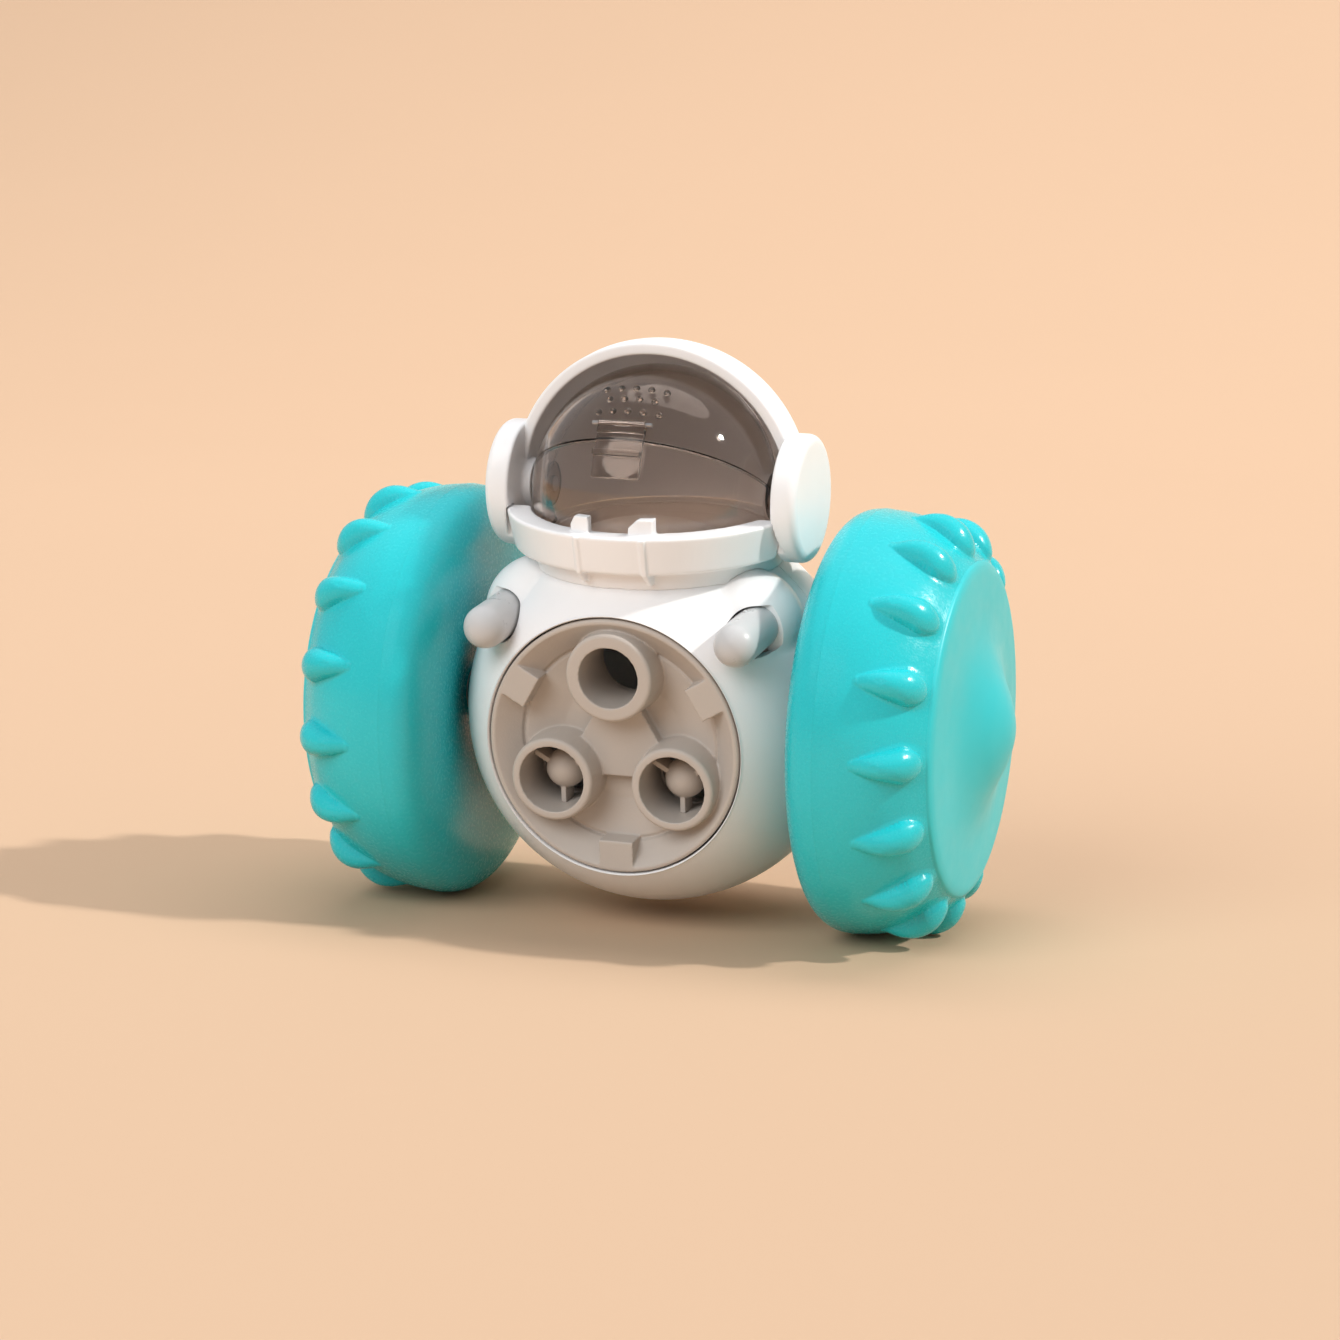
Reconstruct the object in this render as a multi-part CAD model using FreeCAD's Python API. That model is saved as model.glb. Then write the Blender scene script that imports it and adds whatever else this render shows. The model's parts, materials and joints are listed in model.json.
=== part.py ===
import FreeCAD, Part
import math
import os

from FreeCAD import Matrix, Rotation, Vector

# Two-wheeled tumbling treat dispenser in the shape of an astronaut.
# Millimetres.  +X is across the wheels, -Y is the front, +Z is up.
# The origin is on the floor, straight below the middle of the wheel axis.
# The body pieces are drawn upright around the axle centre, then leaned forward.

# ---- driving dimensions ------------------------------------------------------
WHEEL_RADIUS = 41.0
BODY_LEAN = 8.9
BODY_R = 38.3
WALL = 2.2

HEAD_HEIGHT = 43.3
HEAD_R = 29.2
HELMET_R_IN = 26.8
HELMET_FRONT = 2.1
HEAD_BOTTOM = 35.7
EAR_INNER_X = 26.5
EAR_OUTER_X = 31.5
EAR_R = 12.3

COLLAR_TOP = 40.9
COLLAR_R_IN = 24.6
COLLAR_FRONT_END = 8.6
NECK_BOTTOM = 29.0
NECK_TOP = 35.6
BAND_BOTTOM = 33.4
NECK_R_IN = 22.3

VISOR_R = 24.3
VISOR_WALL = 1.5
VISOR_SEAM = 36.0
VISOR_TOP = 105.0
PIVOT_R = 1.5
TAB_R = 4.6

LATCH_HALF = 4.7
LATCH_PIVOT = 42.5
LATCH_FOOT = 18.0
LATCH_PIVOT_R = 25.1
LATCH_PIN_R = 0.4
LUG_R = 0.75
LUG_OUTER_X = 5.9

MOUTH_R = 25.35
DISC_R = 25.0
DISC_REAR = 18.0
DISC_FLOOR = 20.6
DISC_RIM = 28.8
TUBE_FRONT = 30.3
TUBE_CIRCLE = 14.0
TUBE_ANGLES = (90.0, 210.0, 330.0)
OPEN_TUBE_BORE = 5.9
CORE_TUBE_BORE = 6.5
CORE_BALL_R = 3.9
CORE_FORWARD = 22.0
PLATE_FRONT = 17.7
PLATE_REAR = 15.7
PLATE_R = 29.4

ARM_X = 25.0
ARM_Z = 22.0
ARM_R = 4.15
ARM_TIP = 28.9
ARM_ROOT = 12.0

AXLE_R = 2.5
RUNNING_FIT = 0.05
AXLE_END = 62.0
CREASE_X = 43.0
FACE_EDGE = (62.2, 32.3)
NUB_COUNT = 16
NUB_HEAD = (58.3, 37.0)
NUB_HEAD_R = 3.45
NUB_TAIL = (50.2, 38.9)
NUB_TAIL_R = 1.2
NUB_PHASE = {"left": -12.7, "right": 3.0}

BALLAST_R = 16.5
BALLAST_TOP = -25.0
BALLAST_Y = 4.18

HEAD_CENTRE = Vector(0, 0, HEAD_HEIGHT)
ORIGIN = Vector(0, 0, 0)
X_AXIS = Vector(1, 0, 0)
Y_AXIS = Vector(0, 1, 0)
Z_AXIS = Vector(0, 0, 1)
FRONT = Vector(0, -1, 0)
FAR = 90.0


# ---- helpers -----------------------------------------------------------------
def outline(start, *steps):
    """Edges of a profile.  A step of one point is a line, of two points an arc through the first."""
    edges = []
    here = start
    for step in steps:
        if isinstance(step[0], tuple):
            edges.append(Part.Arc(flat(here), flat(step[0]), flat(step[1])).toShape())
            here = step[1]
        else:
            edges.append(Part.LineSegment(flat(here), flat(step)).toShape())
            here = step
    if flat(here).distanceToPoint(flat(start)) > 1e-6:
        edges.append(Part.LineSegment(flat(here), flat(start)).toShape())
    return edges


def flat(point):
    """Profile point: distance along the turning axis, then radius."""
    return Vector(point[0], 0, point[1])


def turned(edges):
    """Solid of revolution about +X."""
    face = Part.Face(Part.Wire(Part.__sortEdges__(edges)))
    return solid_of(face.revolve(ORIGIN, X_AXIS, 360))


def solid_of(shape):
    if shape.ShapeType == "Solid":
        solid = shape
    else:
        solid = shape.Solids[0]
    if solid.Volume < 0:
        solid = solid.reversed()
    return solid


def aimed(shape, direction, place=ORIGIN):
    """Move a shape made along +X so that it points along direction from place."""
    moved = shape.copy()
    moved.Placement = FreeCAD.Placement(place, Rotation(X_AXIS, direction))
    return moved


def turned_front(edges):
    """Solid of revolution about the line that runs forward through the axle centre."""
    return aimed(turned(edges), FRONT)


def turned_up(edges):
    return aimed(turned(edges), Z_AXIS)


def rod(radius, start, end):
    return Part.makeCylinder(radius, (end - start).Length, start, end - start)


def tube(r_in, r_out, start, end):
    return rod(r_out, start, end).cut(rod(r_in, start, end))


def block(low, high):
    return Part.makeBox(high[0] - low[0], high[1] - low[1], high[2] - low[2], Vector(*low))


def ball(radius, centre=ORIGIN):
    return Part.makeSphere(radius, centre)


def spun(shape, angle, axis=Y_AXIS, centre=ORIGIN):
    turned_copy = shape.copy()
    turned_copy.rotate(centre, axis, angle)
    return turned_copy


def mirrored(shape):
    """The same piece on the other side of the middle plane."""
    return shape.mirror(ORIGIN, X_AXIS)


def fused(shapes):
    return shapes[0].multiFuse(shapes[1:]).removeSplitter()


def leaned(shape):
    """Lean a body piece forward about the axle and lift it to axle height."""
    placed = shape.copy()
    placed.rotate(ORIGIN, X_AXIS, BODY_LEAN)
    placed.translate(Vector(0, 0, WHEEL_RADIUS))
    return placed


def lifted(shape):
    placed = shape.copy()
    placed.translate(Vector(0, 0, WHEEL_RADIUS))
    return placed


def disc_point(radius, angle, forward):
    """Point on the face of the dispenser: polar around its centre, and how far forward."""
    a = math.radians(angle)
    return Vector(radius * math.cos(a), -forward, radius * math.sin(a))


# ---- body shells -------------------------------------------------------------
SHELL_SCREWS = ((29.0, 12.0), (-29.0, 12.0), (25.5, -21.5), (-25.5, -21.5))
SCREW_R = 1.2
SCREW_HEAD_R = 2.4
HEAD_SEAT_Y = 5.0
LID_SCREW_X = 19.5
LID_SCREW_Y = 4.5


def shoulder(side):
    """Rounded shoulder with the socket that holds an arm peg."""
    centre = Vector(21 * side, -10, 20.5)
    outside = ball(10.9, centre)
    inside = ball(8.7, centre)
    return outside, inside


def arm_line(side, forward):
    return Vector(ARM_X * side, -forward, ARM_Z)


def arm_socket(side):
    """Solid post round the arm's root."""
    return rod(6.0, arm_line(side, 6), arm_line(side, 18.5))


def arm_hole(side):
    """Bore for the peg, opened outwards into a short slot where it meets the surface."""
    bore = rod(ARM_R, arm_line(side, ARM_ROOT), arm_line(side, 40))
    slot = rod(ARM_R + 0.5, arm_line(side, 16), arm_line(side, 40))
    outer = slot.copy()
    outer.translate(Vector(1.5 * side, 0, 0))
    return fused([bore, slot, outer])


def hollow_body():
    """Ball-shaped casing with shoulders, before it is parted into front and rear."""
    skin = [ball(BODY_R)]
    cavity = [ball(BODY_R - WALL)]
    for side in (1, -1):
        outside, inside = shoulder(side)
        skin.append(outside)
        cavity.append(inside)
    casing = fused(skin).cut(fused(cavity))
    posts = []
    for side in (1, -1):
        posts.append(arm_socket(side))
        posts.append(rod(6.5, Vector(29 * side, 0, 0), Vector(38.0 * side, 0, 0)))
    for x, z in SHELL_SCREWS:
        posts.append(rod(3.2, Vector(x, -19, z), Vector(x, 19, z)))
    for side in (1, -1):
        posts.append(rod(2.2, Vector(LID_SCREW_X * side, LID_SCREW_Y, -36), lid_boss_top(side)))
    posts.append(mouth_wall())
    posts.append(top_rim())
    inner = fused(posts).common(fused(skin))
    return fused([casing, inner])


def lid_boss_top(side):
    return Vector(LID_SCREW_X * side, LID_SCREW_Y, BALLAST_TOP)


def mouth_wall():
    """Round wall behind the mouth, with three bosses for the port plate's screws."""
    wall = tube(MOUTH_R, MOUTH_R + 2, Vector(0, -PLATE_FRONT, 0), Vector(0, -30, 0))
    bosses = [rod(2.2, disc_point(27.3, a, PLATE_FRONT), disc_point(27.3, a, 26)) for a in PLATE_SCREW_ANGLES]
    return fused([wall] + bosses)


def top_rim():
    return tube(20.0, 22.0, Vector(0, 0, 28), Vector(0, 0, 32.7))


def body_openings():
    """Everything cut out of the two shells."""
    cuts = [rod(MOUTH_R, Vector(0, -PLATE_FRONT, 0), Vector(0, -FAR, 0))]
    cuts.append(rod(20.0, Vector(0, 0, 24), Vector(0, 0, FAR)))
    for side in (1, -1):
        cuts.append(arm_hole(side))
        cuts.append(rod(AXLE_R, Vector(20 * side, 0, 0), Vector(FAR * side, 0, 0)))
        cuts.append(rod(4.4, Vector(27 * side, 0, 0), Vector(31 * side, 0, 0)))
        lid_pilot = Vector(LID_SCREW_X * side, LID_SCREW_Y, BALLAST_TOP - 4.2)
        cuts.append(rod(0.9, lid_pilot, lid_boss_top(side)))
    for x, z in SHELL_SCREWS:
        cuts.append(rod(SCREW_R, Vector(x, -8, z), Vector(x, 1, z)))
        cuts.append(rod(SCREW_R + 0.15, Vector(x, 0, z), Vector(x, 9, z)))
        cuts.append(rod(SCREW_HEAD_R + 0.2, Vector(x, HEAD_SEAT_Y, z), Vector(x, FAR, z)))
    for a in PLATE_SCREW_ANGLES:
        cuts.append(rod(0.9, disc_point(27.3, a, PLATE_FRONT), disc_point(27.3, a, 22.5)))
    return cuts


def body_shells():
    casing = hollow_body()
    for cut in body_openings():
        casing = casing.cut(cut)
    front = casing.common(block((-FAR, -FAR, -FAR), (FAR, 0, FAR)))
    rear = casing.common(block((-FAR, 0, -FAR), (FAR, FAR, FAR)))
    return largest(front), largest(rear)


def largest(shape):
    return max(shape.Solids, key=lambda solid: solid.Volume)


def shell_screws():
    screws = []
    for x, z in SHELL_SCREWS:
        head = rod(SCREW_HEAD_R, Vector(x, HEAD_SEAT_Y, z), Vector(x, HEAD_SEAT_Y + 1.8, z))
        slot = cross_slot(Vector(x, HEAD_SEAT_Y + 1.8, z), Y_AXIS, 1.7)
        shank = rod(SCREW_R, Vector(x, -7, z), Vector(x, HEAD_SEAT_Y, z))
        screws.append(head.fuse(shank).cut(slot))
    return Part.makeCompound(screws)


def cross_slot(top, axis, reach):
    """Cross recess, 1 mm deep, in the face of a screw head."""
    arm = block((-1.0, -reach, -0.25), (0.5, reach, 0.25))
    cross = arm.fuse(spun(arm, 90, X_AXIS))
    return aimed(cross, axis, top)


# ---- arms --------------------------------------------------------------------
def arm(side):
    """Straight peg with a round end."""
    peg = rod(ARM_R, arm_line(side, ARM_ROOT), arm_line(side, ARM_TIP))
    tip = ball(ARM_R, arm_line(side, ARM_TIP))
    return fused([peg, tip])


# ---- ballast -----------------------------------------------------------------
def ballast_weight():
    """Steel slug that follows the bottom of the casing and keeps the toy upright."""
    slug = rod(BALLAST_R, Vector(0, BALLAST_Y, -FAR), Vector(0, BALLAST_Y, BALLAST_TOP))
    return slug.common(ball(BODY_R - WALL - 0.2))


def ballast_cover():
    plate = rod(17.5, Vector(0, BALLAST_Y, BALLAST_TOP), Vector(0, BALLAST_Y, BALLAST_TOP + 1.6))
    pieces = [plate]
    for side in (1, -1):
        pieces.append(rod(3.0, lid_boss_top(side), lid_boss_top(side) + Vector(0, 0, 1.6)))
    lid = fused(pieces)
    for side in (1, -1):
        lid = lid.cut(rod(1.1, lid_boss_top(side) - Z_AXIS, lid_boss_top(side) + Z_AXIS * 3))
    return lid


def ballast_screws():
    screws = []
    for side in (1, -1):
        seat = lid_boss_top(side) + Vector(0, 0, 1.6)
        shank = rod(0.9, seat - Z_AXIS * 5.3, seat)
        head = rod(1.9, seat, seat + Z_AXIS * 1.4)
        screws.append(head.fuse(shank).cut(cross_slot(seat + Z_AXIS * 1.4, Z_AXIS, 1.3)))
    return Part.makeCompound(screws)


# ---- dispenser ---------------------------------------------------------------
PLATE_SCREW_ANGLES = (0.0, 120.0, 240.0)
PAD_ANGLES = (30.0, 150.0, 270.0)
HUB_R = 3.0


def dispenser_tube(index, extra=0.0):
    """One spout, tapering a little towards its rounded lip."""
    bore = OPEN_TUBE_BORE if index == 0 else CORE_TUBE_BORE
    lip = 8.6 if index == 0 else 8.2
    wall = outline(
        (DISC_REAR, 0),
        (DISC_REAR, lip + 0.5),
        (TUBE_FRONT - 0.7, lip),
        ((TUBE_FRONT - 0.2, lip - 0.25), (TUBE_FRONT, lip - 0.7)),
        (TUBE_FRONT, 0),
    )
    spout = aimed(turned(wall), FRONT, disc_point(TUBE_CIRCLE, TUBE_ANGLES[index], 0))
    hole = rod(bore, disc_point(TUBE_CIRCLE, TUBE_ANGLES[index], DISC_REAR - 1),
               disc_point(TUBE_CIRCLE, TUBE_ANGLES[index], TUBE_FRONT + 1))
    return spout, hole


def dish():
    """Turned base of the dispenser: rim, sloping ring, small step, shallow floor."""
    return turned_front(outline(
        (DISC_FLOOR, 0),
        (DISC_FLOOR, 18.6),
        (22.2, 19.9),
        (25.6, 23.3),
        (DISC_REAR, 23.3),
        (DISC_REAR, DISC_R),
        (DISC_RIM - 0.5, DISC_R),
        ((DISC_RIM - 0.15, DISC_R - 0.15), (DISC_RIM, DISC_R - 0.5)),
        (DISC_RIM, DISC_R - 0.9),
        (24.9, 19.9),
        (24.0, 19.7),
        (24.4, 19.0),
        (22.6, 12.0),
        (22.3, 0),
    ))


def plateau():
    """Raised three-cornered web that joins the spouts."""
    corners = [disc_point(TUBE_CIRCLE, a, DISC_FLOOR) for a in TUBE_ANGLES]
    face = Part.Face(Part.makePolygon(corners + corners[:1]))
    return face.extrude(FRONT * 4.3)


def grip_pad(angle):
    pad = block((18.8, -DISC_RIM, -3.4), (24.6, -DISC_FLOOR - 1, 3.4))
    return spun(pad, -angle)


def dispenser_disc():
    solids = [dish(), plateau()]
    holes = []
    for index in range(3):
        spout, hole = dispenser_tube(index)
        solids.append(spout)
        holes.append(hole)
    solids += [grip_pad(a) for a in PAD_ANGLES]
    solids.append(rod(HUB_R, disc_point(0, 0, PLATE_REAR - 0.4), disc_point(0, 0, DISC_FLOOR + 1)))
    disc = fused(solids)
    for hole in holes:
        disc = disc.cut(hole)
    return solid_of(disc.cut(rod(0.9, disc_point(0, 0, 10), disc_point(0, 0, DISC_FLOOR + 1))))


def flow_core(index):
    """Ball on three ribs that slows the treats down in a spout."""
    angle = TUBE_ANGLES[index]
    centre = disc_point(TUBE_CIRCLE, angle, CORE_FORWARD)
    pieces = [ball(CORE_BALL_R, centre)]
    for rib_angle in (-90.0, 30.0, 150.0):
        rib = block((0, -2.2, -0.5), (CORE_TUBE_BORE + 1, 2.2, 0.5))
        rib = spun(rib, -rib_angle)
        rib.translate(centre)
        pieces.append(rib)
    core = fused(pieces)
    return core.common(rod(CORE_TUBE_BORE, centre + FRONT * -9, centre + FRONT * 9))


def disc_washer():
    return tube(1.1, 5.0, disc_point(0, 0, PLATE_REAR - 1.2), disc_point(0, 0, PLATE_REAR - 0.4))


def disc_screw():
    seat = disc_point(0, 0, PLATE_REAR - 1.2)
    head = rod(2.4, seat, seat - FRONT * 1.8)
    shank = rod(0.9, seat, disc_point(0, 0, DISC_FLOOR + 0.5))
    return head.fuse(shank).cut(cross_slot(seat - FRONT * 1.8, FRONT * -1, 1.7))


def port_plate():
    """Fixed shutter behind the turning disc, with one port behind each spout."""
    plate = rod(PLATE_R, disc_point(0, 0, PLATE_REAR), disc_point(0, 0, PLATE_FRONT))
    plate = plate.cut(rod(HUB_R + RUNNING_FIT, disc_point(0, 0, 10), disc_point(0, 0, 25)))
    for a in TUBE_ANGLES:
        plate = plate.cut(rod(6.3, disc_point(TUBE_CIRCLE, a, 10), disc_point(TUBE_CIRCLE, a, 25)))
    for a in PLATE_SCREW_ANGLES:
        plate = plate.cut(rod(1.1, disc_point(27.3, a, 10), disc_point(27.3, a, 25)))
    plate = plate.cut(block((-FAR, -FAR, 28.0), (FAR, FAR, FAR)))
    for side in (1, -1):
        plate = plate.cut(rod(6.3, arm_line(side, 5), arm_line(side, 25)))
    for x, z in SHELL_SCREWS:
        plate = plate.cut(rod(3.5, Vector(x, -25, z), Vector(x, -10, z)))
    return plate


def port_plate_screws():
    screws = []
    for a in PLATE_SCREW_ANGLES:
        seat = disc_point(27.3, a, PLATE_REAR)
        shank = rod(0.9, seat, disc_point(27.3, a, 22.0))
        head = rod(1.8, seat, seat - FRONT * 1.4)
        screws.append(head.fuse(shank).cut(cross_slot(seat - FRONT * 1.4, FRONT * -1, 1.2)))
    return Part.makeCompound(screws)


# ---- neck and helmet ---------------------------------------------------------
def lug(x, lean_left):
    """Small clip on the collar that holds the window's lower edge."""
    half = 1.7
    points = [
        Vector(x - half - lean_left, 0, COLLAR_TOP - 1),
        Vector(x + half, 0, COLLAR_TOP - 1),
        Vector(x + half, 0, COLLAR_TOP + 3),
        Vector(x - half + 0.5, 0, COLLAR_TOP + 3),
        Vector(x - half - lean_left, 0, COLLAR_TOP + 1.4),
    ]
    face = Part.Face(Part.makePolygon(points + points[:1]))
    prism = face.extrude(FRONT * FAR)
    ring = tube(COLLAR_R_IN, COLLAR_R_IN + 2.2, Vector(0, 0, 38), Vector(0, 0, 46))
    return prism.common(ring)


def collar_rib(x):
    """Thin upright rib on the front of the collar, running down onto the neck."""
    strip = block((x - 0.5, -FAR, NECK_BOTTOM + 2), (x + 0.5, 0, COLLAR_TOP - 0.2))
    skin = turned_up(outline(
        (NECK_BOTTOM + 1, NECK_R_IN + 1),
        (NECK_BOTTOM + 1, 24.6),
        (BAND_BOTTOM, 28.3),
        (COLLAR_TOP, HEAD_R + 0.5),
        (COLLAR_TOP, COLLAR_R_IN + 1),
        (NECK_TOP, COLLAR_R_IN + 1),
        (NECK_TOP - 1, NECK_R_IN + 1),
    ))
    return strip.common(skin)


def neck_collar():
    neck = turned_up(outline(
        (NECK_BOTTOM, NECK_R_IN),
        (NECK_BOTTOM, 24.2),
        (NECK_BOTTOM + 2, 24.3),
        ((NECK_TOP - 2.2, 24.9), (NECK_TOP, 26.3)),
        (NECK_TOP, NECK_R_IN),
    ))
    band = turned_up(outline(
        (BAND_BOTTOM, COLLAR_R_IN),
        (BAND_BOTTOM, 27.3),
        ((BAND_BOTTOM + 0.3, 27.8), (BAND_BOTTOM + 0.6, 28.0)),
        (COLLAR_TOP - 0.5, HEAD_R),
        ((COLLAR_TOP - 0.15, HEAD_R - 0.15), (COLLAR_TOP, HEAD_R - 0.5)),
        (COLLAR_TOP, COLLAR_R_IN),
    ))
    band = band.common(block((-FAR, -FAR, 0), (FAR, -COLLAR_FRONT_END, FAR)))
    pieces = [neck, band, lug(-6.3, 0.4), lug(6.3, 1.2), collar_rib(-6.3), collar_rib(6.8)]
    collar = fused(pieces).cut(ball(BODY_R))
    for side in (1, -1):
        collar = collar.cut(shoulder(side)[0])
    return largest(collar)


def helmet_shell():
    """Rear of the head: a ball-shaped hood with three shallow bands along its front edge."""
    hood = ball(HEAD_R, HEAD_CENTRE).cut(ball(HELMET_R_IN, HEAD_CENTRE))
    keep = block((-EAR_INNER_X, -HELMET_FRONT, HEAD_BOTTOM), (EAR_INNER_X, FAR, FAR))
    hood = hood.common(keep)
    for step in (3.2, 6.6, 10.0):
        y = step - HELMET_FRONT
        r = math.sqrt(HEAD_R ** 2 - y ** 2)
        groove = Part.makeTorus(r + 0.35, 0.6, HEAD_CENTRE + Vector(0, y, 0), Y_AXIS)
        hood = hood.cut(groove)
    for side in (1, -1):
        hood = hood.cut(rod(5.2, HEAD_CENTRE + X_AXIS * 20 * side, HEAD_CENTRE + X_AXIS * FAR * side))
    return largest(hood)


def ear_cap(side):
    """Round ear piece with an inner boss that carries the visor's pivot pin."""
    profile = outline(
        (VISOR_R + 0.4, PIVOT_R),
        (VISOR_R + 0.4, 4.9),
        (EAR_INNER_X, 4.9),
        (EAR_INNER_X, EAR_R - 0.3),
        (EAR_INNER_X + 0.3, EAR_R),
        (EAR_OUTER_X - 1.6, EAR_R),
        ((EAR_OUTER_X - 0.5, EAR_R - 0.5), (EAR_OUTER_X, EAR_R - 1.6)),
        (EAR_OUTER_X, 0),
        (EAR_OUTER_X - 1.5, 0),
        (EAR_OUTER_X - 1.5, PIVOT_R),
    )
    cap = aimed(turned(profile), X_AXIS, HEAD_CENTRE)
    notch = turned_up(outline(
        (BAND_BOTTOM - 0.2, COLLAR_R_IN - 2),
        (BAND_BOTTOM - 0.2, HEAD_R + 0.2),
        (COLLAR_TOP + 0.2, HEAD_R + 0.2),
        (COLLAR_TOP + 0.2, COLLAR_R_IN - 2),
    )).common(block((0, -FAR, 0), (FAR, 0.15 - COLLAR_FRONT_END, FAR)))
    cap = largest(cap.cut(notch))
    return cap if side > 0 else mirrored(cap)


def visor_pivots():
    pins = []
    for side in (1, -1):
        inner = HEAD_CENTRE + X_AXIS * (VISOR_R - 2.6) * side
        outer = HEAD_CENTRE + X_AXIS * (EAR_OUTER_X - 1.5) * side
        pins.append(rod(PIVOT_R, inner, outer))
    return Part.makeCompound(pins)


# ---- visor -------------------------------------------------------------------
def head_arc(radius, half):
    """Ends and middle of an arc round the head centre, in the profile plane."""
    rise = math.sqrt(radius ** 2 - half ** 2)
    return (-half, rise), (0, radius), (half, rise)


def head_strip(r_in, r_out, half, low, high):
    """Curved strip of a ball-shaped skin, between two angles above straight ahead."""
    in_left, in_mid, in_right = head_arc(r_in, half)
    out_left, out_mid, out_right = head_arc(r_out, half)
    edges = outline(in_left, out_left, (out_mid, out_right), in_right, (in_mid, in_left))
    face = Part.Face(Part.Wire(Part.__sortEdges__(edges)))
    face.rotate(ORIGIN, X_AXIS, 90 - low)
    strip = solid_of(face.revolve(ORIGIN, X_AXIS * -1, high - low))
    strip.translate(HEAD_CENTRE)
    return strip


def head_point(radius, x, angle):
    a = math.radians(angle)
    reach = math.sqrt(radius ** 2 - x ** 2)
    return HEAD_CENTRE + Vector(x, -reach * math.cos(a), reach * math.sin(a))


def pivot_tab(side):
    """Round ear of the flap, drilled for the pivot pin."""
    skin = ball(VISOR_R, HEAD_CENTRE).cut(ball(VISOR_R - VISOR_WALL, HEAD_CENTRE))
    start = HEAD_CENTRE + X_AXIS * 15 * side
    return skin.common(rod(TAB_R, start, start + X_AXIS * 15 * side))


def latch_lug(side):
    """Knuckle on the flap that carries the latch's pin."""
    post = block((LATCH_HALF + 0.2, -LUG_R, VISOR_R - 1.0), (LUG_OUTER_X, LUG_R, LATCH_PIVOT_R))
    cap = rod(LUG_R, Vector(LATCH_HALF + 0.2, 0, LATCH_PIVOT_R), Vector(LUG_OUTER_X, 0, LATCH_PIVOT_R))
    knuckle = spun(fused([post, cap]), 90 - LATCH_PIVOT, X_AXIS)
    knuckle.translate(HEAD_CENTRE)
    return knuckle if side > 0 else mirrored(knuckle)


def latch_axis(x):
    a = math.radians(LATCH_PIVOT)
    return HEAD_CENTRE + Vector(x, -LATCH_PIVOT_R * math.cos(a), LATCH_PIVOT_R * math.sin(a))


GRIP_ROWS = ((65.0, 5), (57.8, 4), (50.5, 5))
GRIP_PITCH = 3.0
GRIP_R = 0.65


def grip_bumps():
    bumps = []
    for angle, count in GRIP_ROWS:
        for i in range(count):
            x = (i - (count - 1) / 2) * GRIP_PITCH
            bumps.append(ball(GRIP_R, head_point(VISOR_R, x, angle)))
    return bumps


def visor_flap():
    pieces = [head_strip(VISOR_R - VISOR_WALL, VISOR_R, VISOR_R - 1.6, VISOR_SEAM + 0.4, VISOR_TOP)]
    for side in (1, -1):
        pieces.append(pivot_tab(side))
        pieces.append(latch_lug(side))
    pieces += grip_bumps()
    flap = fused(pieces)
    bore = PIVOT_R + RUNNING_FIT
    flap = flap.cut(rod(bore, HEAD_CENTRE - X_AXIS * FAR, HEAD_CENTRE + X_AXIS * FAR))
    return solid_of(flap.cut(rod(LATCH_PIN_R, latch_axis(-9), latch_axis(9))))


def visor_window():
    """Fixed lower half of the visor, standing on the neck inside the collar."""
    skin = ball(VISOR_R, HEAD_CENTRE).cut(ball(VISOR_R - VISOR_WALL, HEAD_CENTRE))
    below = block((-FAR, -FAR, -FAR), (FAR, FAR, 0))
    below.rotate(ORIGIN, X_AXIS, 0.0 - VISOR_SEAM + 0.4)
    below.translate(HEAD_CENTRE)
    front = block((-FAR, -FAR, HEAD_BOTTOM), (FAR, -1.0, FAR))
    pane = skin.common(front).common(below)
    gap = rod(TAB_R + 0.4, HEAD_CENTRE - X_AXIS * FAR, HEAD_CENTRE + X_AXIS * FAR)
    return largest(pane.cut(gap))


def visor_latch():
    """Snap latch: barrel, upper lip, thin panel, lower lip and thumb tongue."""
    base = VISOR_R + 0.3
    pieces = [
        head_strip(base, base + 0.8, LATCH_HALF, LATCH_FOOT, LATCH_PIVOT),
        head_strip(base, LATCH_PIVOT_R + 0.8, LATCH_HALF, LATCH_PIVOT - 4.5, LATCH_PIVOT),
        head_strip(base, base + 1.9, LATCH_HALF, 27.5, 30.0),
        rod(0.7, latch_axis(-LATCH_HALF), latch_axis(LATCH_HALF)),
    ]
    latch = fused(pieces)
    return solid_of(latch.cut(rod(LATCH_PIN_R + RUNNING_FIT, latch_axis(-9), latch_axis(9))))


def latch_pin():
    return rod(LATCH_PIN_R, latch_axis(-LUG_OUTER_X), latch_axis(LUG_OUTER_X))


def treat_funnel():
    """Funnel in the neck that leads treats from the head down into the body."""
    return turned_up(outline(
        (35.4, 22.1),
        (33.0, 22.1),
        (33.0, 20.6),
        (32.8, 19.7),
        (23.5, 9.2),
        (21.5, 9.2),
        (21.5, 8.0),
        (24.0, 8.0),
        (34.0, 19.9),
        (35.4, 20.9),
    ))


# ---- wheels ------------------------------------------------------------------
CREASE = (CREASE_X, WHEEL_RADIUS)
CREASE_IN = (CREASE_X, WHEEL_RADIUS - 2.2)
FACE_EDGE_IN = (60.4, 30.8)


def nub():
    """Teardrop tread nub at the top of the wheel, tail towards the crease."""
    head = Vector(NUB_HEAD[0], 0, NUB_HEAD[1])
    tail = Vector(NUB_TAIL[0], 0, NUB_TAIL[1])
    direction = head - tail
    cone = Part.makeCone(NUB_TAIL_R, NUB_HEAD_R - 0.2, direction.Length, tail, direction)
    return fused([ball(NUB_HEAD_R, head), cone])


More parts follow.
